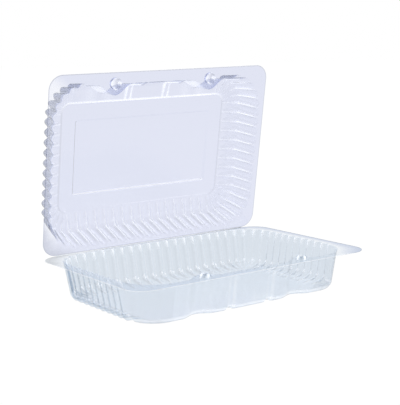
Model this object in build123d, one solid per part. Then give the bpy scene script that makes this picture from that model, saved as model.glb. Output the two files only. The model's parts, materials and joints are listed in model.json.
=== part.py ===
from build123d import *
import math
import os

# A clear clamshell pack, formed from one sheet: a tray and a lid joined along a crease.
# Millimetres. X runs along the crease, +Y points to the crease, +Z is up.
# The origin is the middle of the underside of the tray's floor.

# Sheet and fold
SHEET = 0.4  # thickness of the formed sheet
FOLD_GAP = 0.4  # space left between the two rims when the lid is shut
LID_OPEN = 80.0  # angle between the shut lid and the lid as it stands

# Rims
TRAY_RIM_X = 240.0
LID_RIM_X = 230.0
REAR_RIM = 6.75  # from the rear wall's grooves to the crease
FRONT_RIM = 10.75  # from the front wall to the rim's front edge
TRAY_RIM_R = 18.0
LID_RIM_R = 13.0

# Walls, measured at the rim along the bottoms of the flutes' grooves
WALL_X = 215.0
WALL_Y = 142.5
WALL_R = 30.0
WALL_LEAN = 4.5  # how far a wall leans in on its way down
BEND_R = 6.0  # the bend from the wall to the floor
TRAY_DEPTH = 34.0
LID_DEPTH = 29.0
FLAT_INSET = 22.0  # from the wall at the rim to the flat floor, where the flutes run out
LID_MARGIN_RISE = 1.0  # how far the lid's flat top stands above the margin round it

# Flutes: round ridges on the rear wall, the side walls and the corners. The tray's front corners are smooth
FLUTE_DEPTH = 2.8
REAR_FLUTES = 16
SIDE_FLUTES = 9
CORNER_FLUTES = 5
FLUTE_FACETS = 4
SMOOTH_CORNER_FACETS = 10
CORNER_FADE = 6.0  # how fast the last groove runs out into a smooth corner
GROOVE_SHEET = 2.4 * SHEET  # the sheet is this thick across a groove, where two flutes meet

# Front wall: smooth, with a bay round each snap button and two upright ribs
BUTTON_X = 50.0
BAY_HALF = 17.0
BAY_DEPTH = 9.5
BAY_FACETS = 12
RIB_X = 20.0
RIB_HALF = 5.5
RIB_DEPTH = 2.2

# Snap buttons: studs on the tray's rim, sockets on the lid's
STUD_R = 5.0
STUD_HEIGHT = 3.0
SNAP_ROOM = 0.5  # space between a stud and its socket
BUTTON_SLOPE = 12.0  # draft of a button's side, in degrees
BUTTON_SHEET = SHEET * (1 - math.tan(math.radians(BUTTON_SLOPE)))  # across a button's side, at one height

# Raised panel in the middle of the lid's top
PANEL_X = 146.0
PANEL_Y = 70.0
PANEL_RISE = 1.6
PANEL_R = 3.0
PANEL_SLOPE = 56.0  # of its sides, in degrees from upright

HALF_X = WALL_X / 2
HALF_Y = WALL_Y / 2
CORNER_X = HALF_X - WALL_R
CORNER_Y = HALF_Y - WALL_R
CREASE_Y = HALF_Y + REAR_RIM
RIM_FRONT_Y = -HALF_Y - FRONT_RIM
BUTTON_Y = -HALF_Y - 0.5


class Station:
    """A place on the wall's outline: its foot at the rim, its outward normal and its share of each form."""

    def __init__(self, foot, normal, flute=0.0, smooth=0.0, bay=0.0, rib=0.0):
        self.foot = foot
        self.normal = normal
        self.flute = flute
        self.smooth = smooth
        self.bay = bay
        self.rib = rib


def crown(share):
    """A round ridge from one groove to the next: 0 at both grooves, 1 on the crest."""
    return 4 * share * (1 - share)


def side_stations(start, end, count):
    """A straight fluted wall."""
    along = (end - start).normalized()
    for k in range(count * FLUTE_FACETS):
        foot = start + (end - start) * (k / (count * FLUTE_FACETS))
        yield Station(foot, Vector(along.Y, -along.X), flute=crown(k / FLUTE_FACETS % 1))


def corner_stations(x, y, first_angle, fluted=True):
    """A rounded corner. Its flutes fan out from its centre, or it is smooth from its first groove on."""
    count = CORNER_FLUTES * FLUTE_FACETS if fluted else SMOOTH_CORNER_FACETS
    for k in range(count):
        angle = math.radians(first_angle + 90 * k / count)
        normal = Vector(math.cos(angle), math.sin(angle))
        flute = crown(k / FLUTE_FACETS % 1) if fluted else 0.0
        smooth = 0.0 if fluted else min(1.0, CORNER_FADE * abs(normal.Y))
        yield Station(Vector(x, y) + normal * WALL_R, normal, flute=flute, smooth=smooth)


def front_stations(fluted_corners):
    """The smooth front wall from left to right: its bays swing in and out as a wave, its ribs are round."""
    yield Station(Vector(-CORNER_X, -HALF_Y), Vector(0, -1), smooth=0.0 if fluted_corners else 1.0)
    places = {}
    for side in (-1, 1):
        for k in range(BAY_FACETS + 1):
            swing = 2 * k / BAY_FACETS - 1
            places[side * BUTTON_X + swing * BAY_HALF] = ((1 + math.cos(math.pi * swing)) / 2, 0)
        for k in range(FLUTE_FACETS + 1):
            share = k / FLUTE_FACETS
            places[side * RIB_X + (2 * share - 1) * RIB_HALF] = (0, crown(share))
    for x in sorted(places):
        bay, rib = places[x]
        yield Station(Vector(x, -HALF_Y), Vector(0, -1), smooth=1.0, bay=bay, rib=rib)


def wall_stations(fluted_corners):
    """A half's whole outline, counter-clockwise from the right end of its front wall."""
    yield from corner_stations(CORNER_X, -CORNER_Y, -90, fluted_corners)
    yield from side_stations(Vector(HALF_X, -CORNER_Y), Vector(HALF_X, CORNER_Y), SIDE_FLUTES)
    yield from corner_stations(CORNER_X, CORNER_Y, 0)
    yield from side_stations(Vector(CORNER_X, HALF_Y), Vector(-CORNER_X, HALF_Y), REAR_FLUTES)
    yield from corner_stations(-CORNER_X, CORNER_Y, 90)
    yield from side_stations(Vector(-HALF_X, CORNER_Y), Vector(-HALF_X, -CORNER_Y), SIDE_FLUTES)
    yield from corner_stations(-CORNER_X, -CORNER_Y, 180, fluted_corners)
    yield from front_stations(fluted_corners)


class Level:
    """One height of a wall: its grooves, its crests and its smooth front, each as (distance in, depth)."""

    def __init__(self, groove, crest, smooth, bay, rib):
        self.groove = groove
        self.crest = crest
        self.smooth = smooth
        self.bay = bay
        self.rib = rib

    def point(self, station):
        place = self.groove + (self.crest - self.groove) * station.flute
        place += (self.smooth - place) * station.smooth
        inset = place.X + self.bay * station.bay + self.rib * station.rib
        return station.foot - station.normal * inset - Vector(0, 0, place.Y)


def bend_point(wall_in, bottom, turn, thick):
    """A point on the bend, from a turn of 0 on the wall to 90 on the floor, moved in by a thickness."""
    c, s = math.cos(math.radians(turn)), math.sin(math.radians(turn))
    return Vector(wall_in + BEND_R * (1 - c) + thick * c, bottom - BEND_R * (1 - s) - thick * s)


def wall_levels(depth, rise, inside):
    """The levels of a half's outside or inside, from its rim to the edge of its flat floor."""
    sheet, groove_sheet = (SHEET, GROOVE_SHEET) if inside else (0, 0)
    top = 0 if inside else SHEET
    groove = Vector(groove_sheet, top)
    crest = Vector(sheet - FLUTE_DEPTH, top)
    levels = [Level(groove, crest, Vector(sheet, top), BAY_DEPTH, 0)]
    for turn, bay, rib in ((15, 0.75, 0.8), (75, 0.55, 1.0)):
        groove = bend_point(WALL_LEAN, depth - rise - FLUTE_DEPTH, turn, groove_sheet)
        crest = bend_point(WALL_LEAN - FLUTE_DEPTH, depth - rise, turn, sheet)
        smooth = bend_point(WALL_LEAN, depth - rise, turn, sheet)
        levels.append(Level(groove, crest, smooth, bay * BAY_DEPTH, rib * RIB_DEPTH))
    flat = Vector(FLAT_INSET, depth - sheet)
    levels.append(Level(flat, flat, flat, 0, 0))
    return levels


def facets(ring_a, ring_b):
    """The wall between two levels: four-sided facets where they can be flat, triangles elsewhere."""
    count = len(ring_a)
    for k in range(count):
        a, b = ring_a[k], ring_a[(k + 1) % count]
        c, d = ring_b[(k + 1) % count], ring_b[k]
        normal = (b - a).cross(d - a).normalized()
        if abs(normal.dot(c - a)) < 1e-6:
            corners = [(a, b, c, d)]
        else:
            corners = [(a, b, d), (b, c, d)]
        for polygon in corners:
            yield Face(Wire.make_polygon(polygon))


def rim_plate(size_x, corner_r):
    """The flat rim as a whole plate, its top at Z = 0."""
    rear_y = CREASE_Y - FOLD_GAP / 2
    middle = Location((0, (rear_y + RIM_FRONT_Y) / 2, 0))
    outline = middle * RectangleRounded(size_x, rear_y - RIM_FRONT_Y, corner_r)
    return extrude(outline, -SHEET)


def snap_button(x, z, radius, height, up):
    """A drafted round boss on the rim, up or down from Z."""
    outline = Location((x, BUTTON_Y, z)) * Circle(radius)
    return extrude(outline, height if up else -height, taper=BUTTON_SLOPE)


def top_panel(z):
    """The lid's raised panel. It goes down from Z, because the lid is modelled as a tray."""
    outline = Location((0, 0, z)) * RectangleRounded(PANEL_X, PANEL_Y, PANEL_R)
    return extrude(outline, -PANEL_RISE, taper=PANEL_SLOPE)


def split_boss(boss, z):
    """A boss's foot outline, to be cut from the face it stands on, and the faces that replace it."""
    foot = boss.faces().filter_by(Axis.Z).sort_by(lambda face: abs(face.center().Z - z))[0]
    return foot.outer_wire(), [face for face in boss.faces() if face != foot]


def skin(levels, stations, rim_face, buttons, panels):
    """One side of the formed sheet: the rim, the fluted wall and the floor, with their bosses."""
    rings = [[level.point(station) for station in stations] for level in levels]
    faces = []
    for ring_a, ring_b in zip(rings, rings[1:]):
        faces += facets(ring_a, ring_b)
    rim_holes, floor_holes = [Wire.make_polygon(rings[0])], []
    for boss in buttons:
        foot, sides = split_boss(boss, rim_face.center().Z)
        rim_holes.append(foot)
        faces += sides
    for boss in panels:
        foot, sides = split_boss(boss, rings[-1][0].Z)
        floor_holes.append(foot)
        faces += sides
    faces.append(Face(rim_face.outer_wire(), rim_holes))
    faces.append(Face(Wire.make_polygon(rings[-1]), floor_holes))
    return faces


def half(rim_x, rim_r, depth, rise, button_r, button_height, is_lid):
    """One half of the pack as an open tray, its rim's top at Z = 0, sewn from its two sides and its edge."""
    stations = list(wall_stations(fluted_corners=is_lid))
    plate = rim_plate(rim_x, rim_r)
    under_face, top_face = plate.faces().filter_by(Axis.Z).sort_by(Axis.Z)
    under_r = button_r + BUTTON_SHEET * (1 if is_lid else -1)
    inside_buttons, outside_buttons = [], []
    for x in (-BUTTON_X, BUTTON_X):
        inside_buttons.append(snap_button(x, 0, button_r, button_height, up=not is_lid))
        outside_buttons.append(snap_button(x, -SHEET, under_r, button_height, up=not is_lid))
    inside_panels = [top_panel(SHEET - depth)] if is_lid else []
    outside_panels = [top_panel(-depth)] if is_lid else []
    inside_levels = wall_levels(depth, rise, inside=True)
    outside_levels = wall_levels(depth, rise, inside=False)
    faces = skin(inside_levels, stations, top_face, inside_buttons, inside_panels)
    faces += skin(outside_levels, stations, under_face, outside_buttons, outside_panels)
    faces += plate.faces().filter_by(Axis.Z, reverse=True)
    return Solid(Shell(faces))


def make_tray():
    tray = half(TRAY_RIM_X, TRAY_RIM_R, TRAY_DEPTH, 0, STUD_R, STUD_HEIGHT, is_lid=False)
    return Location((0, 0, TRAY_DEPTH)) * tray


def make_lid():
    """The lid is modelled as a tray, turned over onto the tray and then swung open about the crease."""
    socket_r, socket_height = STUD_R + SNAP_ROOM, STUD_HEIGHT + SNAP_ROOM
    lid = half(LID_RIM_X, LID_RIM_R, LID_DEPTH, LID_MARGIN_RISE, socket_r, socket_height, is_lid=True)
    shut = Location((0, 0, TRAY_DEPTH + FOLD_GAP)) * mirror(lid, about=Plane.XY)
    crease = Axis((0, CREASE_Y, TRAY_DEPTH + FOLD_GAP / 2), (-1, 0, 0))
    return shut.rotate(crease, LID_OPEN)


os.makedirs("parts", exist_ok=True)
for name, piece in (("tray", make_tray()), ("lid", make_lid())):
    export_step(piece, f"parts/{name}.step")
    box = piece.bounding_box()
    print(name, "solids", len(piece.solids()), "volume", round(piece.volume), "box", box.min, box.max)
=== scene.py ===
# %% [markdown]
# # A clear clamshell pack
#
# The pack is one sheet of clear plastic. It was softened, drawn over a mould, cut out and folded once.
# Fluted walls stiffen the tray and the lid, and two snap buttons hold the rims together. The CAD frame
# gives both halves their place and their hinge. This lesson draws the same sheet again with smooth flutes,
# real bends and a clear finish, and then sets it in a white studio.

import json
import math
from dataclasses import dataclass

import bmesh
import bpy
from mathutils import Matrix, Vector
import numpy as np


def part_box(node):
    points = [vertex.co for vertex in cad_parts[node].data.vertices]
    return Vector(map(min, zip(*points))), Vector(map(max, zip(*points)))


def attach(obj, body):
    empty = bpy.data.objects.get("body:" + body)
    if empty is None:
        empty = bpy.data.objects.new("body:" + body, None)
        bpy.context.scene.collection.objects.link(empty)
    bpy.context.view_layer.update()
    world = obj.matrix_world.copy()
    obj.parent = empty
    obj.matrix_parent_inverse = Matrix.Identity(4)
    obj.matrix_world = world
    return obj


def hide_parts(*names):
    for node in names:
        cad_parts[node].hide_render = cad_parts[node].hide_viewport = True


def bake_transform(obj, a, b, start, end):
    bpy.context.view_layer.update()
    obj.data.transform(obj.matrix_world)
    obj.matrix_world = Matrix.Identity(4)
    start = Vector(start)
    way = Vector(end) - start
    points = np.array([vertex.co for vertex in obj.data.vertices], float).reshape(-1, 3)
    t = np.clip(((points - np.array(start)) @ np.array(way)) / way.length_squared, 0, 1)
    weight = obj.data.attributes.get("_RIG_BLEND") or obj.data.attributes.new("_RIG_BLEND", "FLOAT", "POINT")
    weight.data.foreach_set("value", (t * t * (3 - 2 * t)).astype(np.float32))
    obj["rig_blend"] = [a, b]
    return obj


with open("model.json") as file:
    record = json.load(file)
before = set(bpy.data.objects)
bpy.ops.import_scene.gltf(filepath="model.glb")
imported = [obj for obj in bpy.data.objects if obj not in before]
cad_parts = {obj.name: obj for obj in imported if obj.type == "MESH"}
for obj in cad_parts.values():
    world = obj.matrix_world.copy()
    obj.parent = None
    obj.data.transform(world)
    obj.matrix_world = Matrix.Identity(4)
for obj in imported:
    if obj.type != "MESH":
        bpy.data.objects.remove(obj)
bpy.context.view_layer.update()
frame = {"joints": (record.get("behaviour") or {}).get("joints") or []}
tray_low, tray_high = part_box("tray")
lid_low, lid_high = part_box("lid")
hinge = frame["joints"][0]
crease = Vector(hinge["pos_m"])

# %% [markdown]
# ## The sheet's sizes
#
# The sizes that the frame can give are read from it: the length of each rim, the crease and the front edge.
# The others are the mould's own sizes, in metres, and they agree with the solids that the frame holds. The
# drawn sheet is a little thinner than the real one, so that its bends stay inside the solids' box.

# %% The sheet's sizes
MM = 0.001
SHEET = 0.4 * MM
DRAWN_SHEET = 0.38 * MM
FOLD_GAP = 0.4 * MM
LID_OPEN = -math.radians(hinge["range_deg"][0])

TRAY_DEPTH = crease.z - FOLD_GAP / 2
LID_DEPTH = 29 * MM
TRAY_RIM_X = tray_high.x - tray_low.x
LID_RIM_X = lid_high.x - lid_low.x
TRAY_RIM_R = 18 * MM
LID_RIM_R = 13 * MM
RIM_FRONT_Y = tray_low.y
RIM_REAR_Y = tray_high.y

HALF_X = 107.5 * MM
HALF_Y = 71.25 * MM
WALL_R = 30 * MM
WALL_LEAN = 4.5 * MM
RIM_BEND_R = 1.4 * MM
FLOOR_BEND_R = 6 * MM
FLAT_INSET = 22 * MM
LID_MARGIN_RISE = 1.0 * MM
LID_BEAD = 0.45 * MM
BEAD_HALF = 1.1 * MM
CORNER_X = HALF_X - WALL_R
CORNER_Y = HALF_Y - WALL_R

FLUTE_DEPTH = 2.8 * MM
REAR_FLUTES = 16
SIDE_FLUTES = 9
CORNER_FLUTES = 5

BUTTON_X = 50 * MM
BUTTON_Y = -HALF_Y - 0.5 * MM
BAY_HALF = 17 * MM
BAY_DEPTH = 9.5 * MM
BAY_LEAN = 0.3
RIB_X = 20 * MM
RIB_HALF = 5.5 * MM
RIB_DEPTH = 2.2 * MM
STUD_R = 5 * MM
STUD_HEIGHT = 3 * MM
SNAP_ROOM = 0.5 * MM
print("tray rim", round(TRAY_RIM_X, 4), "lid rim", round(LID_RIM_X, 4), "tray depth", round(TRAY_DEPTH, 4))

# %% [markdown]
# ## The wall's outline
#
# Seen from above, a wall is a rounded rectangle with a scallop for each flute. The front wall is smooth,
# with a bay behind each snap button and two upright ribs, and the tray's front corners are smooth too.
# Modelling one flute and arraying it would leave seams at the corners, where the flutes fan out. So the
# outline is a list of stations instead. Each knows its foot on the plain rectangle, which way is out, and
# how much of each form it has. Stations crowd at the grooves, because these are sharp.

# %% A run of flutes
FLUTE_STEPS = 12
GROOVE_EASE = 0.16
GROOVE_CROWD = 0.6
# Where the painted highlight and painted shade lines on a flute lie and how wide they are, as shares
# of its width.
FLANK_AT = 0.14
FLANK_HALF = 0.14
CREST_HALF = 0.1


@dataclass
class Station:
    """A place on the wall's outline, with its share of each form.

    flute goes from 0 in a groove to 1 on a crest, and ridge the other way. crest and flank_shade are narrow
    lines on a flute, one along its crest for a painted highlight and one beside a groove for painted shade.
    fold is a painted highlight line where the front wall bends.
    """

    foot: Vector
    normal: Vector
    flute: float = 0.0
    ridge: float = 0.0
    crest: float = 0.0
    flank_shade: float = 0.0
    fold: float = 0.0
    smooth: float = 0.0
    bay: float = 0.0
    rib: float = 0.0


def scallop(share):
    """A flute's section: 0 in the grooves at both ends, 1 on the crest, with the grooves a little rounded."""
    eased = math.hypot(math.sin(math.pi * share), GROOVE_EASE) - GROOVE_EASE
    return eased / (math.hypot(1, GROOVE_EASE) - GROOVE_EASE)


def hump(distance, half):
    """1 in the middle, 0 from half onwards, as one smooth wave."""
    return (1 + math.cos(math.pi * min(1.0, abs(distance) / half))) / 2


def ease(share):
    """Eases a share in and out, and keeps it between 0 and 1."""
    share = min(1.0, max(0.0, share))
    return share * share * (3 - 2 * share)


def fluted_run(count, place):
    """Stations along a run of flutes. place(t) gives the foot and the way out at share t of the run.

    Only flutes that face the crease get a painted highlight along their crest.
    """
    for k in range(count * FLUTE_STEPS):
        flute, step = divmod(k, FLUTE_STEPS)
        share = step / FLUTE_STEPS
        share -= GROOVE_CROWD * math.sin(2 * math.pi * share) / (2 * math.pi)
        foot, normal = place((flute + share) / count)
        ridge = 1 - math.sin(math.pi * share)
        # A painted highlight along the crest of a flute that faces the crease, and painted shade beside its
        # groove.
        crest = hump(share - 0.5, CREST_HALF) * max(0.0, normal.y)
        flank_shade = hump(share - FLANK_AT, FLANK_HALF)
        yield Station(foot, normal, flute=scallop(share), ridge=ridge, crest=crest, flank_shade=flank_shade)


print("a flute is", round(2 * CORNER_X / REAR_FLUTES / MM, 1), "mm wide on the rear wall")

# %% The whole outline
FRONT_STEPS = 132
SMOOTH_STEPS = 48
CORNER_FADE = 6.0
CORNER_SHADE = 0.6
FOLD_HIGHLIGHT_SHARP = 4
BAY_FOLD_HIGHLIGHT = 0.6
FLUTE_FADE = 9 * MM


def on_rim(x, y):
    """A point in the plane of the rim."""
    return Vector((x, y, 0))


def straight(start, end):
    """A place function for a straight wall, with the outside on its right."""
    along = (end - start).normalized()
    return lambda t: (start.lerp(end, t), on_rim(along.y, -along.x))


def rounded(centre, first_angle):
    """A place function for a quarter turn round a corner's centre, from an angle in degrees."""
    def place(t):
        angle = math.radians(first_angle + 90 * t)
        normal = on_rim(math.cos(angle), math.sin(angle))
        return centre + normal * WALL_R, normal
    return place


def front_corner(place, fluted):
    """A front corner, fluted or smooth. A smooth one fades in from the side wall's nearest groove."""
    if fluted:
        yield from fluted_run(CORNER_FLUTES, place)
        return
    for k in range(SMOOTH_STEPS):
        foot, normal = place(k / SMOOTH_STEPS)
        smooth = ease(CORNER_FADE * abs(normal.y))
        yield Station(foot, normal, flank_shade=CORNER_SHADE * smooth, smooth=smooth)


def front_run(fluted_corners):
    """The smooth front wall, from left to right, with a painted highlight halfway up a rib's and a bay's
    sides.
    """
    for k in range(FRONT_STEPS):
        x = CORNER_X * (2 * k / FRONT_STEPS - 1)
        smooth = ease((CORNER_X - abs(x)) / FLUTE_FADE) if fluted_corners else 1.0
        bay = hump(abs(x) - BUTTON_X, BAY_HALF)
        rib = hump(abs(x) - RIB_X, RIB_HALF)
        # fold is a painted highlight, strongest halfway up a rib's sides and weaker on a bay's sides.
        fold = (4 * rib * (1 - rib)) ** FOLD_HIGHLIGHT_SHARP + BAY_FOLD_HIGHLIGHT * bay * (1 - bay)
        yield Station(on_rim(x, -HALF_Y), on_rim(0, -1), fold=fold, smooth=smooth, bay=bay, rib=rib)


def wall_stations(fluted_corners):
    """A half's whole outline, counter-clockwise from the right end of its front wall."""
    yield from front_corner(rounded(on_rim(CORNER_X, -CORNER_Y), -90), fluted_corners)
    yield from fluted_run(SIDE_FLUTES, straight(on_rim(HALF_X, -CORNER_Y), on_rim(HALF_X, CORNER_Y)))
    yield from fluted_run(CORNER_FLUTES, rounded(on_rim(CORNER_X, CORNER_Y), 0))
    yield from fluted_run(REAR_FLUTES, straight(on_rim(CORNER_X, HALF_Y), on_rim(-CORNER_X, HALF_Y)))
    yield from fluted_run(CORNER_FLUTES, rounded(on_rim(-CORNER_X, CORNER_Y), 90))
    yield from fluted_run(SIDE_FLUTES, straight(on_rim(-HALF_X, CORNER_Y), on_rim(-HALF_X, -CORNER_Y)))
    yield from front_corner(rounded(on_rim(-CORNER_X, -CORNER_Y), 180), fluted_corners)
    yield from front_run(fluted_corners)


for half, fluted in (("tray", False), ("lid", True)):
    print(half, "stations on the outline", len(list(wall_stations(fluted))))

# %% [markdown]
# ## Streaks and painted light in the sheet
#
# The white along the grooves and folds is the sheet's own whitening, where the mould stretched it most,
# together with a painted highlight, and the grey where a flute is seen from its side is painted shade. A
# picture of streaks would need an unwrapped sheet to lie on.
# But every station knows its forms, so each vertex can be told how white, dark, fluted and flat the sheet
# is there. The tables below say how strong each of these is along the wall, stretch by stretch from the rim
# inwards.

# %% Streaks and painted light
@dataclass
class StreaksAndLight:
    """How a stretch of the wall looks.

    groove, crest, fold and smooth whiten those forms, with the sheet's stretch whitening and a painted
    highlight, and sharp is how narrow the white of a groove is. front and left are a painted highlight on
    what faces those ways, and plain whitens all of it. flank_shade and side are painted shade on the lines
    beside the grooves and on what faces sideways. flute and flat are its shares of the flutes' painted shade
    and of the flats' tint.
    """

    groove: float = 0.0
    sharp: int = 4
    crest: float = 0.0
    fold: float = 0.0
    smooth: float = 0.0
    front: float = 0.0
    left: float = 0.0
    plain: float = 0.0
    flank_shade: float = 0.0
    side: float = 0.0
    flute: float = 0.0
    flat: float = 0.0

    def white(self, station):
        grooves = station.ridge ** self.sharp * self.groove + station.crest * self.crest
        facing = max(0.0, -station.normal.y) * self.front + max(0.0, -station.normal.x) * self.left
        return grooves + station.fold * self.fold + station.smooth * self.smooth + facing + self.plain

    def dark(self, station):
        return station.flank_shade * self.flank_shade + abs(station.normal.x) * self.side


# Each stretch's stretch whitening and painted highlight, its painted shade and its share of the flats' tint.
TRAY_STREAKS_AND_LIGHT = {
    "rim": StreaksAndLight(groove=1.0, sharp=2, flute=0.5),
    "wall": StreaksAndLight(groove=0.16, sharp=6, crest=0.16, fold=0.35, flank_shade=0.08, flute=1.0),
    "fold": StreaksAndLight(groove=1.0, sharp=3, crest=0.7, fold=0.4, smooth=0.4, flank_shade=0.1, flute=0.8),
    "bend": StreaksAndLight(groove=0.4, sharp=3, crest=0.2, fold=0.4, flank_shade=0.2, flute=0.8),
    "margin": StreaksAndLight(groove=0.35, crest=0.15, plain=0.1, flank_shade=0.28, flute=0.2),
    "bead": StreaksAndLight(plain=0.15),
    "flat": StreaksAndLight(plain=0.15),
}
LID_STREAKS_AND_LIGHT = {
    "rim": StreaksAndLight(groove=0.3, fold=0.3, left=0.15, flute=0.5, flat=1.0),
    "wall": StreaksAndLight(groove=1.0, crest=0.5, fold=0.5, smooth=0.3, flank_shade=0.25, flute=1.0, flat=0.2),
    "fold": StreaksAndLight(groove=1.0, sharp=3, crest=0.6, fold=0.5, flank_shade=0.1, flute=0.8, flat=0.5),
    "bend": StreaksAndLight(groove=0.4, sharp=3, crest=0.2, fold=0.7, flute=0.8, flat=0.8),
    "margin": StreaksAndLight(groove=0.3, sharp=5, crest=0.15, fold=0.6, flank_shade=0.05, flute=0.1, flat=1.0),
    "bead": StreaksAndLight(front=0.5, side=0.15, flat=1.0),
    "flat": StreaksAndLight(flat=1.0),
}
print("stretches of a wall", list(LID_STREAKS_AND_LIGHT))

# %% [markdown]
# ## The wall's levels
#
# From the rim down, the sheet bends over into the wall, leans in, bends again onto the floor's sloping
# margin, and ends at the flat middle, where the flutes have run out. A straight extrusion would keep the
# flutes all the way. So each level is three points in section, each a distance in and a depth: one for the
# grooves, one for the crests and one for the smooth front. A station takes its own mix of the three.

# %% The wall's levels
RIM_BEND_STEPS = 4
WALL_STEPS = 4
FLOOR_BEND_STEPS = 8
MARGIN_STEPS = 8
BEAD_STEPS = 6
# The steps of the floor's bend that count as its fold.
FOLD_START = 2
FOLD_END = 4


@dataclass
class Level:
    """One height of the wall. Its forms are (distance in, depth), and bay and rib are added to the others."""

    groove: Vector
    crest: Vector
    smooth: Vector
    bay: Vector
    rib: Vector
    streaks: StreaksAndLight

    def point(self, station):
        place = self.groove.lerp(self.crest, station.flute).lerp(self.smooth, station.smooth)
        place = place + self.bay * station.bay + self.rib * station.rib
        return station.foot - station.normal * place.x - Vector((0, 0, place.y))


def quarter_turn(steps):
    """Angles from 0 to a right angle."""
    return [math.pi / 2 * k / steps for k in range(steps + 1)]


def section(wall_in, bottom, depth, bead):
    """One section of the sheet's inside, from rim to flat, as pairs of a stretch's name and a point."""
    rim = [
        Vector((wall_in - RIM_BEND_R * (1 - math.sin(a)), RIM_BEND_R * (1 - math.cos(a))))
        for a in quarter_turn(RIM_BEND_STEPS)
    ]
    wall_end = Vector((wall_in + WALL_LEAN, bottom - FLOOR_BEND_R))
    wall = [rim[-1].lerp(wall_end, k / WALL_STEPS) for k in range(1, WALL_STEPS)]
    bend = [
        wall_end + FLOOR_BEND_R * Vector((1 - math.cos(a), math.sin(a)))
        for a in quarter_turn(FLOOR_BEND_STEPS)
    ]
    margin_end = Vector((FLAT_INSET - BEAD_HALF, depth))
    margin = [bend[-1].lerp(margin_end, k / MARGIN_STEPS) for k in range(1, MARGIN_STEPS)]
    bead_shares = [k / BEAD_STEPS for k in range(BEAD_STEPS + 1)]
    round_flat = [
        margin_end + Vector((2 * BEAD_HALF * s, -bead * math.sin(math.pi * s) ** 2)) for s in bead_shares
    ]
    stretches = {
        "rim": rim,
        "wall": wall + bend[:FOLD_START],
        "fold": bend[FOLD_START:FOLD_END],
        "bend": bend[FOLD_END:],
        "margin": margin,
        "bead": round_flat[:BEAD_STEPS // 2],
        "flat": round_flat[BEAD_STEPS // 2:],
    }
    return [(name, point) for name, points in stretches.items() for point in points]


def wall_levels(depth, rise, bead, streaks):
    """Every level of a half. The bays and the ribs run out before the flat."""
    inside = depth - SHEET
    groove = section(SHEET, inside - rise - FLUTE_DEPTH, inside, bead)
    crest = section(SHEET - FLUTE_DEPTH, inside - rise, inside, bead)
    smooth = section(SHEET, inside - rise, inside, bead)
    for k, (name, middle) in enumerate(smooth):
        along = (smooth[min(k + 1, len(smooth) - 1)][1] - smooth[max(k - 1, 0)][1]).normalized()
        run_out = ease((FLAT_INSET - BEAD_HALF - middle.x) / (FLAT_INSET - WALL_LEAN - FLOOR_BEND_R))
        bay = Vector((BAY_DEPTH * run_out * (1 - BAY_LEAN * middle.y / inside), 0))
        rib = Vector((along.y, -along.x)) * RIB_DEPTH * run_out * ease(middle.y / FLOOR_BEND_R)
        yield Level(groove[k][1], crest[k][1], middle, bay, rib, streaks[name])


print("levels in a wall", len(list(wall_levels(TRAY_DEPTH, 0, 0, TRAY_STREAKS_AND_LIGHT))))

# %% [markdown]
# ## Drawing a wall
#
# A forming machine draws the warm sheet down over the mould. Here an open loop of edges is drawn down in
# the same way: it is extruded once for each level, and each new vertex goes where its station says. A
# vertex keeps the number of its station through every extrusion, because bmesh copies a vertex's layers to
# the new one.

# %% Drawing a wall
# white is the sheet's stretch whitening with a painted highlight, dark and flute are painted shade, and flat
# is the flats' tint.
LOOKS = ("white", "dark", "flute", "flat")
LEFT_TURN = 2.0
LEFT_START = 0.8


def left_share(normal):
    """1 where a wall faces left, and 0 where it faces any other way or turns to the crease."""
    return ease(-LEFT_TURN * normal.x - LEFT_START) * (1 - max(0.0, normal.y))


def new_sheet():
    """An empty mesh whose vertices can tell their station and how the sheet looks there."""
    bm = bmesh.new()
    bm.verts.layers.int.new("station")
    for look in LOOKS:
        bm.verts.layers.float.new(look)
    return bm


def look_layers(bm):
    """The layers that hold how white, dark, fluted and flat the sheet is."""
    return [bm.verts.layers.float[look] for look in LOOKS]


def loop_of(verts):
    """The edges that join these vertices to each other."""
    inside = set(verts)
    return list({e for v in verts for e in v.link_edges if e.other_vert(v) in inside})


def draw_on(bm, loop, move):
    """Extrudes an open loop of edges, moves its new vertices, and returns the new loop."""
    made = bmesh.ops.extrude_edge_only(bm, edges=loop)["geom"]
    verts = [part for part in made if isinstance(part, bmesh.types.BMVert)]
    for v in verts:
        v.co = move(v)
    return loop_of(verts)


def draw_wall(bm, stations, levels):
    """The wall, as its top loop and its last one."""
    number = bm.verts.layers.int["station"]
    white, dark, flute, flat = look_layers(bm)
    ring = bmesh.ops.create_circle(bm, segments=len(stations), radius=1.0)["verts"]
    for k, v in enumerate(ring):
        v[number] = k
        v.co = levels[0].point(stations[k])
        # The rim is clearer on its left, where the wall shows through it.
        v[flat] = levels[0].streaks.flat * (1 - left_share(stations[k].normal))
    first = loop = loop_of(ring)
    for level in levels[1:]:
        # Each new vertex takes its stretch's painted highlight, painted shade and tint.
        def move(v):
            station = stations[v[number]]
            v[white] = level.streaks.white(station)
            v[dark] = level.streaks.dark(station)
            v[flute] = level.streaks.flute * (1 - station.smooth)
            v[flat] = level.streaks.flat
            return level.point(station)
        loop = draw_on(bm, loop, move)
    return first, loop


print("layers on a sheet", LOOKS)

# %% [markdown]
# ## Snap buttons
#
# A snap button is a round boss with a rounded foot and shoulder. The tray has studs that stand up, and the
# lid has sockets that go over them with a little room. It could be a cylinder with a bevel, but the sheet
# runs on through it, so it starts from a circle in the rim and is drawn up in rings. Painted glints and
# painted shade take turns round it.

# %% Snap buttons
BUTTON_SEGMENTS = 40
BUTTON_FOOT_R = 0.5 * MM
BUTTON_TOP_R = 1.2 * MM
BUTTON_STEPS = 4
BUTTON_GLINTS = 4
BUTTON_GLINT = 0.7
BUTTON_SHADE = 0.25


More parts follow.
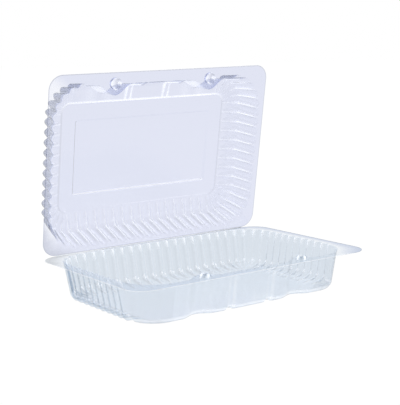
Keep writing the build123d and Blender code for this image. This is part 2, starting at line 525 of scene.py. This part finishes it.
def button_rings(radius, height):
    """The rings of a button above its foot, each as its radius and its height."""
    for turn in quarter_turn(BUTTON_STEPS)[1:]:
        yield radius - BUTTON_FOOT_R * math.sin(turn), BUTTON_FOOT_R * (1 - math.cos(turn))
    side_r = radius - BUTTON_FOOT_R
    shoulder = height - BUTTON_TOP_R
    for turn in quarter_turn(BUTTON_STEPS):
        yield side_r - BUTTON_TOP_R * (1 - math.cos(turn)), shoulder + BUTTON_TOP_R * math.sin(turn)


def draw_button(bm, x, radius, height, is_lid):
    """A button on the rim, up for a positive height. Returns the loop at its foot."""
    white, dark, _, flat = look_layers(bm)
    centre = on_rim(x, BUTTON_Y)
    way = math.copysign(1, height)
    spot = Matrix.Translation(centre)
    ring = bmesh.ops.create_circle(bm, segments=BUTTON_SEGMENTS, radius=radius, matrix=spot)["verts"]
    for v in ring:
        v[flat] = 1.0 if is_lid else 0.0
    foot = loop = loop_of(ring)
    for ring_r, ring_h in button_rings(radius, abs(height)):
        def move(v):
            out = on_rim(v.co.x - centre.x, v.co.y - centre.y).normalized()
            # Round the button, painted glints where this wave is high and painted shade where it is low.
            glint = math.cos(BUTTON_GLINTS * math.atan2(out.y, out.x))
            v[white] = BUTTON_GLINT * max(0.0, glint)
            v[dark] = BUTTON_SHADE * max(0.0, -glint)
            return centre + out * ring_r + Vector((0, 0, way * ring_h))
        loop = draw_on(bm, loop, move)
    bmesh.ops.contextual_create(bm, geom=loop)
    return foot


print("rings in a button", len(list(button_rings(STUD_R, STUD_HEIGHT))))

# %% [markdown]
# ## The rim
#
# The rim is the flat flange that a knife cuts out of the sheet, so its outline is plain: a rectangle with
# rounded corners. A curve could give that too, but a face whose vertices are bevelled stays in the same
# mesh. An inset leaves a narrow band for the cut edge, which is given painted shade on the lid and a painted
# highlight on the near side of the tray. The straight sides are cut into short lengths, so that a look can
# change along them.

# %% The rim
CORNER_SEGMENTS = 14
SIDE_CUTS = 15
RIM_EDGE = 1.0 * MM
# How strong the rims' painted highlight, painted shade and tint are, and the lengths over which they fade.
RIM_EDGE_SHADE = 0.4
RIM_NEAR_EDGE_SHADE = 0.12
RIM_EDGE_HIGHLIGHT = 0.5
RIM_LEFT_SHEEN = 0.1
RIM_CLEAR = 0.5
RIM_SHADE = 0.2
RIM_FADE = 30 * MM
TIP_START = 155 * MM
TIP_FADE = 20 * MM
LID_TIP_SHADE = 0.25
TRAY_TIP_SHADE = 0.4


def rounded_face(bm, size_x, size_y, middle, corner_r):
    """One flat face with rounded corners."""
    spot = Matrix.Translation(middle) @ Matrix.Diagonal((size_x / 2, size_y / 2, 1, 1))
    verts = bmesh.ops.create_grid(bm, x_segments=1, y_segments=1, size=1.0, matrix=spot)["verts"]
    rounded_verts = bmesh.ops.bevel(
        bm, geom=verts, offset=corner_r, offset_type="OFFSET", segments=CORNER_SEGMENTS,
        profile=0.5, affect="VERTICES", material=-1,
    )["verts"]
    face = rounded_verts[0].link_faces[0]
    sides = [e for e in face.edges if e.calc_length() > corner_r]
    bmesh.ops.subdivide_edges(bm, edges=sides, cuts=SIDE_CUTS)
    return face


def band_round(bm, face, width, depth=0.0):
    """Insets a face, and returns the edges of the new band that have no face on their other side."""
    band = bmesh.ops.inset_region(
        bm, faces=[face], thickness=width, depth=depth, use_even_offset=True, use_boundary=True,
    )["faces"]
    return [e for f in band for e in f.edges if e.is_boundary]


def far_share(place):
    """0 at the front and the left of the tray's rim, and 1 at its rear and its right."""
    return ease((place.x + place.y) / RIM_FADE)


def tip_share(place):
    """1 at the left end of the crease, where only one sheet lies over the backdrop, and 0 away from it."""
    return ease((place.y - place.x - TIP_START) / TIP_FADE)


def draw_rim(bm, size_x, corner_r, is_lid):
    """The cut edge of a rim, as a narrow band. Returns its inner loop.

    The band carries painted shade, and on the tray's near side a painted highlight. The inner loop carries
    the looks of the flat inside it. The lid's flat has less tint and a little painted sheen on its left, and
    the tray's has a bluer painted shade at its rear and its right. Both have painted shade at the left end of
    the crease.
    """
    white, dark, _, flat = look_layers(bm)
    middle = on_rim(0, (RIM_REAR_Y + RIM_FRONT_Y) / 2)
    face = rounded_face(bm, size_x, RIM_REAR_Y - RIM_FRONT_Y, middle, corner_r)
    # The cut edge's band: painted shade, and a painted highlight on the tray's near side.
    for v in {v for e in band_round(bm, face, RIM_EDGE) for v in e.verts}:
        far = 1.0 if is_lid else far_share(v.co)
        v[white] = RIM_EDGE_HIGHLIGHT * (1 - far) * (1 - tip_share(v.co))
        v[dark] = RIM_NEAR_EDGE_SHADE + (RIM_EDGE_SHADE - RIM_NEAR_EDGE_SHADE) * far
        v[flat] = far
    # The flat's loop: painted sheen and less tint on the lid's left, a bluer painted shade on the tray's far
    # side, and painted shade at the crease's left end.
    for v in face.verts:
        tip = tip_share(v.co)
        if is_lid:
            left = ease((-v.co.x - size_x / 2 + corner_r) / corner_r) * (1 - tip)
            v[white] = RIM_LEFT_SHEEN * left
            v[dark] = LID_TIP_SHADE * tip
            v[flat] = 1 - RIM_CLEAR * left
        else:
            v[flat] = far_share(v.co)
            v[dark] = RIM_SHADE * v[flat] + TRAY_TIP_SHADE * tip
    loop = list(face.edges)
    bmesh.ops.delete(bm, geom=[face], context="FACES_ONLY")
    return loop


print("rim is", round((RIM_REAR_Y - RIM_FRONT_Y) / MM, 1), "mm from front to rear")

# %% [markdown]
# ## The lid's panel
#
# A low raised panel stiffens the top of the lid. An extruded face with a bevel would do, but four insets,
# each with a step up, round its side over at the foot and at the top. Halfway up, its rear side is painted
# white and its left side dark, as light catches and misses them.

# %% The lid's panel
PANEL_X = 146 * MM
PANEL_Y = 70 * MM
PANEL_R = 3 * MM
PANEL_RISE = 1.6 * MM
PANEL_SIDE = 2.4 * MM
PANEL_BAND_WIDTHS = (0.2, 0.3, 0.3, 0.2)
PANEL_BAND_RISES = (0.1, 0.4, 0.4, 0.1)
HALFWAY_BAND = 1
PANEL_WHITE = 0.6
PANEL_DARK = 0.7


def draw_panel(bm, depth):
    """The lid's raised panel. Returns the loop at its foot."""
    white, dark, _, flat = look_layers(bm)
    face = rounded_face(bm, PANEL_X, PANEL_Y, Vector((0, 0, -depth)), PANEL_R)
    for v in face.verts:
        v[flat] = 1.0
    outer_loops = []
    for band, (width, rise) in enumerate(zip(PANEL_BAND_WIDTHS, PANEL_BAND_RISES)):
        outer_loops.append(band_round(bm, face, PANEL_SIDE * width, -PANEL_RISE * rise))
        halfway = band == HALFWAY_BAND
        for v in face.verts:
            v[white] = PANEL_WHITE if halfway and v.co.y > PANEL_Y / 2 - PANEL_SIDE else 0.0
            v[dark] = PANEL_DARK if halfway and v.co.x < PANEL_SIDE - PANEL_X / 2 else 0.0
    return outer_loops[0]


print("panel rises", round(PANEL_RISE / MM, 1), "mm in", len(PANEL_BAND_RISES), "bands")

# %% [markdown]
# ## The two halves
#
# On the real pack a half's rim, wall and floor are one sheet, so each half is one mesh. The flat stretches
# are filled between their outlines, with the buttons' feet and the panel's as holes. The mesh is the inside
# of the sheet. A second skin could be drawn for the outside, but a Solidify modifier keeps the two alike.
# Both halves are drawn as trays, and the lid is then mirrored onto the tray's rim and swung open about the
# crease. A mirror turns faces inside out, so they are reversed.

# %% One half
RIM_SLOT = 2
WELD_GAP = 0.0001 * MM
RIM_ROOM = SHEET / 100
DOWNWARD = -0.01
SHARP_TURN = math.radians(60)
LARGE_FACES_FIRST = 100


def draw_half(depth, levels, rim_x, rim_r, button_r, button_height, is_lid):
    """The inside of one half as an open tray, with the top of its rim at Z = 0."""
    bm = new_sheet()
    wall_top, floor_edge = draw_wall(bm, list(wall_stations(fluted_corners=is_lid)), list(levels))
    rim = draw_rim(bm, rim_x, rim_r, is_lid)
    feet = [e for x in (-BUTTON_X, BUTTON_X) for e in draw_button(bm, x, button_r, button_height, is_lid)]
    panel = draw_panel(bm, depth - SHEET) if is_lid else []
    bmesh.ops.triangle_fill(bm, edges=rim + wall_top + feet, use_beauty=True, normal=(0, 0, 1))
    bmesh.ops.triangle_fill(bm, edges=floor_edge + panel, use_beauty=True, normal=(0, 0, 1))
    bmesh.ops.remove_doubles(bm, verts=bm.verts, dist=WELD_GAP)
    bmesh.ops.recalc_face_normals(bm, faces=bm.faces)
    if sum(f.normal.z * f.calc_area() for f in bm.faces) < 0:
        bmesh.ops.reverse_faces(bm, faces=bm.faces)
    for f in bm.faces:
        if all(v.co.z > -RIM_ROOM for v in f.verts):
            f.material_index = RIM_SLOT
    print("faces that look down", sum(f.normal.z < DOWNWARD for f in bm.faces), "of", len(bm.faces))
    return bm


def make_piece(bm, name):
    """A smooth-shaded object of this mesh, with its sharp edges kept sharp."""
    mesh = bpy.data.meshes.new(name)
    bm.to_mesh(mesh)
    bm.free()
    mesh.shade_smooth()
    mesh.set_sharp_from_angle(angle=SHARP_TURN)
    piece = bpy.data.objects.new(name, mesh)
    bpy.context.scene.collection.objects.link(piece)
    return piece


def give_thickness(piece):
    """The drawn sheet's thickness, on the side away from the goods. Its flat stretches then shade as flat."""
    solid = piece.modifiers.new("sheet", "SOLIDIFY")
    solid.thickness = DRAWN_SHEET
    solid.offset = -1
    solid.use_even_offset = True
    solid.use_quality_normals = True
    solid.material_offset = 1
    solid.material_offset_rim = 1
    level = piece.modifiers.new("flat_faces", "WEIGHTED_NORMAL")
    level.weight = LARGE_FACES_FIRST
    level.keep_sharp = True


# %% The tray
tray_levels = wall_levels(TRAY_DEPTH, 0, 0, TRAY_STREAKS_AND_LIGHT)
tray_mesh = draw_half(TRAY_DEPTH, tray_levels, TRAY_RIM_X, TRAY_RIM_R, STUD_R, STUD_HEIGHT, is_lid=False)
bmesh.ops.translate(tray_mesh, vec=(0, 0, TRAY_DEPTH), verts=tray_mesh.verts)
tray = make_piece(tray_mesh, "tray_sheet")
give_thickness(tray)
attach(tray, "tray")
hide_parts("tray")
print(tray.name, "faces", len(tray.data.polygons))

# %% The lid
lid_levels = wall_levels(LID_DEPTH, LID_MARGIN_RISE, LID_BEAD, LID_STREAKS_AND_LIGHT)
socket_r = STUD_R + SNAP_ROOM
socket_height = -STUD_HEIGHT - SNAP_ROOM
lid_mesh = draw_half(LID_DEPTH, lid_levels, LID_RIM_X, LID_RIM_R, socket_r, socket_height, is_lid=True)
shut = Matrix.Translation((0, 0, TRAY_DEPTH + FOLD_GAP)) @ Matrix.Scale(-1, 4, (0, 0, 1))
swing = Matrix.Translation(crease) @ Matrix.Rotation(-LID_OPEN, 4, "X") @ Matrix.Translation(-crease)
bmesh.ops.transform(lid_mesh, matrix=swing @ shut, verts=lid_mesh.verts)
bmesh.ops.reverse_faces(lid_mesh, faces=lid_mesh.faces)
lid = make_piece(lid_mesh, "lid_sheet")
give_thickness(lid)
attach(lid, "lid")
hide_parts("lid")
print(lid.name, "faces", len(lid.data.polygons), "open", round(math.degrees(LID_OPEN), 1), "degrees")

# %% [markdown]
# ## The crease
#
# The real sheet runs on through the fold. In the frame the two rims stop just short of it, so a narrow web
# closes the gap. A flat strip would tear when the lid swings. This one is an arc about the hinge's own
# axis, spun from the tray's edge to the lid's, and it bends with both bodies.

# %% The crease
WEB_STEPS = 10
WEB_SHEET = 0.25 * MM
WEB_X = LID_RIM_X / 2 - LID_RIM_R
FULL_TURN = 2 * math.pi

web_mesh = bmesh.new()
tray_edge = Vector((0, RIM_REAR_Y, TRAY_DEPTH - SHEET / 2))
out = tray_edge - crease
lid_edge = crease + Matrix.Rotation(-LID_OPEN, 3, "X") @ Vector((0, out.y, -out.z))
ends = [web_mesh.verts.new(tray_edge + Vector((x, 0, 0))) for x in (-WEB_X, WEB_X)]
first_edge = web_mesh.edges.new(ends)
tray_angle = math.atan2(out.z, out.y)
lid_angle = math.atan2(lid_edge.z - crease.z, lid_edge.y - crease.y)
web_turn = (lid_angle - tray_angle) % FULL_TURN
bmesh.ops.spin(
    web_mesh, geom=[first_edge, *ends], cent=crease, axis=(1, 0, 0), angle=web_turn, steps=WEB_STEPS,
)
bmesh.ops.recalc_face_normals(web_mesh, faces=web_mesh.faces)
web = make_piece(web_mesh, "hinge_web")
web_solid = web.modifiers.new("sheet", "SOLIDIFY")
web_solid.thickness = WEB_SHEET
web_solid.offset = 0
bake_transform(web, "tray", "lid", start=tray_edge, end=lid_edge)
print("web turns through", round(math.degrees(web_turn), 1), "degrees")

# %% [markdown]
# ## Writing a shader
#
# A shader is a net of nodes, and most of its sums are small. Adding each Math node by hand hides what the
# sum says. So a number in a shader is wrapped in a class with operators, and 1 - mask adds the node by
# itself. Every other node comes from one method, which takes its type, its settings and its sockets.

# %% Shader helpers
class Number:
    """A number that a shader works out. Each operator adds one Math node."""

    def __init__(self, finish, output):
        self.finish = finish
        self.output = output

    def math(self, operation, first, second):
        return self.finish.number("ShaderNodeMath", {"operation": operation}, {0: first, 1: second})

    def __add__(self, other):
        return self.math("ADD", self, other)

    def __radd__(self, other):
        return self.math("ADD", other, self)

    def __sub__(self, other):
        return self.math("SUBTRACT", self, other)

    def __rsub__(self, other):
        return self.math("SUBTRACT", other, self)

    def __mul__(self, other):
        return self.math("MULTIPLY", self, other)

    def __rmul__(self, other):
        return self.math("MULTIPLY", other, self)

    def __truediv__(self, other):
        return self.math("DIVIDE", self, other)

    def __rtruediv__(self, other):
        return self.math("DIVIDE", other, self)

    def __pow__(self, other):
        return self.math("POWER", self, other)

    def __rpow__(self, other):
        return self.math("POWER", other, self)


class Finish:
    """A material, or a world, that is put together node by node."""

    def __init__(self, name, holder=None):
        self.holder = holder or bpy.data.materials.new(name)
        self.holder.use_nodes = True
        self.tree = self.holder.node_tree
        self.tree.nodes.clear()

    def node(self, kind, settings=None, inputs=None):
        """Adds a node, sets it up, then fills or links its sockets."""
        made = self.tree.nodes.new(kind)
        for name, value in (settings or {}).items():
            setattr(made, name, value)
        for socket, value in (inputs or {}).items():
            if isinstance(value, Number):
                self.tree.links.new(value.output, made.inputs[socket])
            elif isinstance(value, bpy.types.NodeSocket):
                self.tree.links.new(value, made.inputs[socket])
            else:
                made.inputs[socket].default_value = value
        return made

    def number(self, kind, settings=None, inputs=None, output=0):
        return Number(self, self.node(kind, settings, inputs).outputs[output])

    def shader(self, kind, **inputs):
        """A shader of one kind, with its sockets filled or linked by name."""
        return self.node(kind, {}, inputs).outputs[0]

    def mixed(self, factor, first, second):
        return self.node("ShaderNodeMixShader", {}, {0: factor, 1: first, 2: second}).outputs[0]

    def surface(self, shader):
        self.node("ShaderNodeOutputMaterial", {}, {"Surface": shader})
        return self.holder


# %% [markdown]
# ## Clear sheet
#
# Clear sheet lets most light straight through, a little tinted, and mirrors the rest. A true glass shader
# would trace both faces of a sheet that is thinner than a hair's width on the screen, and it would stop the
# lamps' light. So one side of the sheet lets rays straight through and mirrors as much as both faces do,
# and the side that a ray leaves by isn't seen. Then come the looks that the vertices carry: white adds a
# milky surface with a painted glow, for the sheet's stretch whitening and a painted highlight; dark and
# flute are painted shade that turns the sheet grey, and the same painted shade greys it where it is seen
# edge on; and flat chooses the flats' tint.

# %% Clear sheet
CLEAR_IOR = 1.57
FACING_BLEND = 0.5
RIPPLE_SCALE = 60.0
RIPPLE_DETAIL = 2.0
RIPPLE_HEIGHT = 0.05 * MM
GLOSS = 0.16
ALL_LIGHT = (1, 1, 1, 1)
WHITE = (0.97, 0.98, 1.0, 1)
MILK_ROUGHNESS = 0.3
# The milky surface glows a little: a painted glow.
MILK_PAINTED_GLOW = 0.55
# The grey of painted shade, also where the sheet is seen edge on.
EDGE_ON_SHADE = (0.24, 0.25, 0.26, 1)
# The painted shade of fluted walls, as a base and a narrow outline.
FLUTE_CURVE = 4
FLUTE_SHADE_LINE = 0.8
FLUTE_SHADE_BASE = 0.5


def clear_sheet(name, tint, flat_tint, curve, whitening_and_highlight, mirror, fluted=0.0, painted_shade=1.0):
    """One side of clear formed sheet. tint and flat_tint are what its walls and its flats let through.

    curve is how narrow its painted dark outlines are, and whitening_and_highlight, mirror, fluted and
    painted_shade are the strength of its white streaks and painted highlight, its gloss, the painted shade of
    its flutes and its painted dark lines.
    """
    finish = Finish(name)
    place = finish.node("ShaderNodeTexCoord").outputs["Object"]
    waves = {"Vector": place, "Scale": RIPPLE_SCALE, "Detail": RIPPLE_DETAIL}
    ripple = finish.number("ShaderNodeTexNoise", {}, waves)
    bump = finish.node("ShaderNodeBump", {}, {"Distance": RIPPLE_HEIGHT, "Height": ripple}).outputs[0]
    front = 1 - finish.number("ShaderNodeNewGeometry", output="Backfacing")
    fresnel = finish.number("ShaderNodeFresnel", {}, {"IOR": CLEAR_IOR, "Normal": bump})
    facing = finish.number("ShaderNodeLayerWeight", {}, {"Blend": FACING_BLEND}, output="Facing")
    white, dark, flute, flat = (
        finish.number("ShaderNodeAttribute", {"attribute_name": look}, output="Fac") for look in LOOKS
    )
    # Painted shade mixes the tint towards grey, and white mixes in a milky surface with stretch whitening and
    # a painted highlight.
    on_wall = finish.shader("ShaderNodeBsdfTransparent", Color=(*tint, 1))
    on_flat = finish.shader("ShaderNodeBsdfTransparent", Color=(*flat_tint, 1))
    edge_on_shade = finish.shader("ShaderNodeBsdfTransparent", Color=EDGE_ON_SHADE)
    flute_shade = flute * (facing ** FLUTE_CURVE * FLUTE_SHADE_LINE + FLUTE_SHADE_BASE) * fluted
    shade = facing ** curve + dark * painted_shade + flute_shade
    through = finish.mixed(shade, finish.mixed(flat, on_wall, on_flat), edge_on_shade)
    milk = finish.node("ShaderNodeBsdfPrincipled", {}, {
        "Base Color": WHITE, "Roughness": MILK_ROUGHNESS, "Normal": bump,
        "Emission Color": WHITE, "Emission Strength": MILK_PAINTED_GLOW,
    }).outputs[0]
    cloudy = finish.mixed(white * whitening_and_highlight, through, milk)
    gloss = finish.shader("ShaderNodeBsdfAnisotropic", Color=ALL_LIGHT, Roughness=GLOSS, Normal=bump)
    both_faces = fresnel * 2 / (fresnel + 1)
    shiny = finish.mixed(both_faces * mirror, cloudy, gloss)
    unseen = finish.shader("ShaderNodeBsdfTransparent", Color=ALL_LIGHT)
    return finish.surface(finish.mixed(front, unseen, shiny))


# %% [markdown]
# ## The pack's finishes
#
# All of the pack is one clear plastic. It looks lavender in the lid and nearly clear in the tray, from the
# light and from how many sheets lie behind each other. Real light through many sheets would need a room to
# match. So each side of each half has a tint of its own, and its slots run inside, outside, rim, and
# outside of the rim.

# %% The pack's finishes
LAVENDER = (0.735, 0.76, 0.885)
GREY = (0.86, 0.87, 0.905)
CLEAR = (0.97, 0.975, 0.985)
AQUA = (0.71, 0.77, 0.84)
PALE_AQUA = (0.97, 0.98, 0.99)
PALE = (0.92, 0.95, 0.98)
# The bluer painted shade on the far side of the tray's rim.
FAR_RIM_SHADE_BLUE = (0.62, 0.7, 0.89)

lid_inside = clear_sheet("clear_lid_inside", LAVENDER, LAVENDER, curve=10, whitening_and_highlight=0.9, mirror=0.6)
lid_rim = clear_sheet("clear_lid_rim", CLEAR, LAVENDER, curve=10, whitening_and_highlight=0.9, mirror=0.6)
lid_outside = clear_sheet(
    "clear_lid_outside", GREY, LAVENDER, curve=18, whitening_and_highlight=0.3, mirror=0.5, fluted=0.65, painted_shade=0.4,
)
tray_inside = clear_sheet("clear_tray_inside", AQUA, AQUA, curve=20, whitening_and_highlight=0.9, mirror=0.7)
tray_outside = clear_sheet(
    "clear_tray_outside", PALE_AQUA, PALE_AQUA, curve=10, whitening_and_highlight=0.6, mirror=0.3, fluted=0.04,
)
tray_rim = clear_sheet("clear_tray_rim", PALE, FAR_RIM_SHADE_BLUE, curve=12, whitening_and_highlight=0.9, mirror=0.4)
for finish in (lid_inside, lid_outside, lid_rim, lid_outside):
    lid.data.materials.append(finish)
for finish in (tray_inside, tray_outside, tray_rim, tray_rim):
    tray.data.materials.append(finish)
web.data.materials.append(tray_rim)
print("finishes", [m.name for m in bpy.data.materials if m.name.startswith("clear")])

# %% [markdown]
# ## The floor
#
# The pack stands on white paper with a faint grain. A lit white sheet would turn grey under the pack, and
# the clear plastic would show that. So the paper glows by itself, and takes only a trace of the lamps'
# light.

# %% The floor
FLOOR_R = 6.0
FLOOR_SEGMENTS = 96
FLOOR_DROP = 0.5 * MM
PAPER_LOW = (0.975, 0.975, 0.975, 1)
PAPER_HIGH = (0.99, 0.99, 0.99, 1)
PAPER_LIT = (0.05, 0.05, 0.05, 1)
GRAIN_SCALE = 9.0
GRAIN_DETAIL = 3.0

floor_mesh = bmesh.new()
bmesh.ops.create_circle(floor_mesh, cap_ends=True, segments=FLOOR_SEGMENTS, radius=FLOOR_R)
floor = make_piece(floor_mesh, "floor")
floor.location.z = -FLOOR_DROP
paper = Finish("floor_paper")
place = paper.node("ShaderNodeTexCoord").outputs["Object"]
fibres = {"Vector": place, "Scale": GRAIN_SCALE, "Detail": GRAIN_DETAIL}
grain = paper.number("ShaderNodeTexNoise", {}, fibres)
low = paper.shader("ShaderNodeEmission", Color=PAPER_LOW)
high = paper.shader("ShaderNodeEmission", Color=PAPER_HIGH)
lamp_lit = paper.shader("ShaderNodeBsdfDiffuse", Color=PAPER_LIT)
glowing = paper.mixed(grain, low, high)
white_paper = paper.node("ShaderNodeAddShader", {}, {0: glowing, 1: lamp_lit}).outputs[0]
floor.data.materials.append(paper.surface(white_paper))
print("floor radius", FLOOR_R)

# %% [markdown]
# ## The studio
#
# Clear plastic shows only what is round it. The camera sees a white backdrop, so the sheet reads as a pale
# tint. What the sheet mirrors is a room that is bright on its far side and dim behind the camera. A
# photographer would hang black cards there, so that the edges of clear things turn grey. A ray may pass
# many sheets in a row, so Blender is told to follow it further than it usually does.

# %% The studio
FAR_SIDE = Vector((0.58, 0.81, 0.0))
FAR_FROM = -0.3
FAR_TO = 0.75
NEAR_WALL = (0.22, 0.23, 0.25, 1)
FAR_WALL = (0.84, 0.87, 0.92, 1)
BACKDROP = (1, 1, 1, 1)
SHEETS_IN_A_ROW = 40

world = bpy.data.worlds.new("studio")
bpy.context.scene.world = world
room = Finish("studio", world)
way = room.node("ShaderNodeTexCoord").outputs["Generated"]
far = room.number("ShaderNodeVectorMath", {"operation": "DOT_PRODUCT"}, {0: way, 1: FAR_SIDE}, output="Value")
ramp = {"Value": far, "From Min": FAR_FROM, "From Max": FAR_TO}
bright = room.number("ShaderNodeMapRange", {"interpolation_type": "SMOOTHSTEP"}, ramp)
near_wall = room.shader("ShaderNodeBackground", Color=NEAR_WALL)
far_wall = room.shader("ShaderNodeBackground", Color=FAR_WALL)
backdrop = room.shader("ShaderNodeBackground", Color=BACKDROP)
seen = room.number("ShaderNodeLightPath", output="Is Camera Ray")
studio = room.mixed(seen, room.mixed(bright, near_wall, far_wall), backdrop)
room.node("ShaderNodeOutputWorld", {}, {"Surface": studio})
bpy.context.scene.view_settings.view_transform = "Standard"
bpy.context.scene.cycles.transparent_max_bounces = SHEETS_IN_A_ROW
print("world", world.name)

# %% [markdown]
# ## Soft boxes
#
# Three large soft lamps give the sheet its gloss: one behind on the left, one in front on the right and one
# above. Bare bulbs would leave hard dots on the bends, and a wide rectangle leaves a soft band instead.

# %% Soft boxes
def soft_box(name, place, width, height, power):
    """A rectangular lamp that faces the crease."""
    light = bpy.data.lights.new(name, "AREA")
    light.shape = "RECTANGLE"
    light.size = width
    light.size_y = height
    light.energy = power
    lamp = bpy.data.objects.new(name, light)
    lamp.location = place
    lamp.rotation_euler = (crease - Vector(place)).to_track_quat("-Z", "Y").to_euler()
    bpy.context.scene.collection.objects.link(lamp)


soft_box("left_box", place=(-1.5, 1.0, 0.8), width=0.5, height=1.4, power=3.5)
soft_box("right_box", place=(1.2, -1.4, 0.8), width=0.6, height=1.0, power=5)
soft_box("top_box", place=(0.2, 0.3, 1.8), width=1.6, height=1.4, power=9)

# %% [markdown]
# ## The camera
#
# The pack is seen from its front left, a little above the rims and from about a metre away. A camera could
# be placed by eye and pointed with a constraint. This one's place, turn and lens were fitted to the corners
# of the two rims instead, so that the drawn rims lie over those in the photograph.

# %% The camera
IMAGE_HEIGHT = 405
FOCAL_PIXELS = 1079.1
SENSOR_MM = 36
YAW = math.radians(-35.32)
PITCH = math.radians(9.19)
ROLL = math.radians(-1.34)
EYE_FROM_CREASE = Vector((-531.1, -824.39, 193.57)) * MM

forward = Vector((-math.sin(YAW) * math.cos(PITCH), math.cos(YAW) * math.cos(PITCH), -math.sin(PITCH)))
level_right = Vector((math.cos(YAW), math.sin(YAW), 0))
level_up = level_right.cross(forward)
right = math.cos(ROLL) * level_right + math.sin(ROLL) * level_up
up = -math.sin(ROLL) * level_right + math.cos(ROLL) * level_up
lens = bpy.data.cameras.new("camera")
lens.sensor_width = SENSOR_MM
lens.lens = FOCAL_PIXELS * SENSOR_MM / IMAGE_HEIGHT
eye = bpy.data.objects.new("camera", lens)
turn = Matrix((right, up, -forward)).transposed().to_4x4()
eye.matrix_world = Matrix.Translation(crease - Vector((0, 0, FOLD_GAP / 2)) + EYE_FROM_CREASE) @ turn
bpy.context.scene.collection.objects.link(eye)
bpy.context.scene.camera = eye
print("lens", round(lens.lens, 1), "mm")
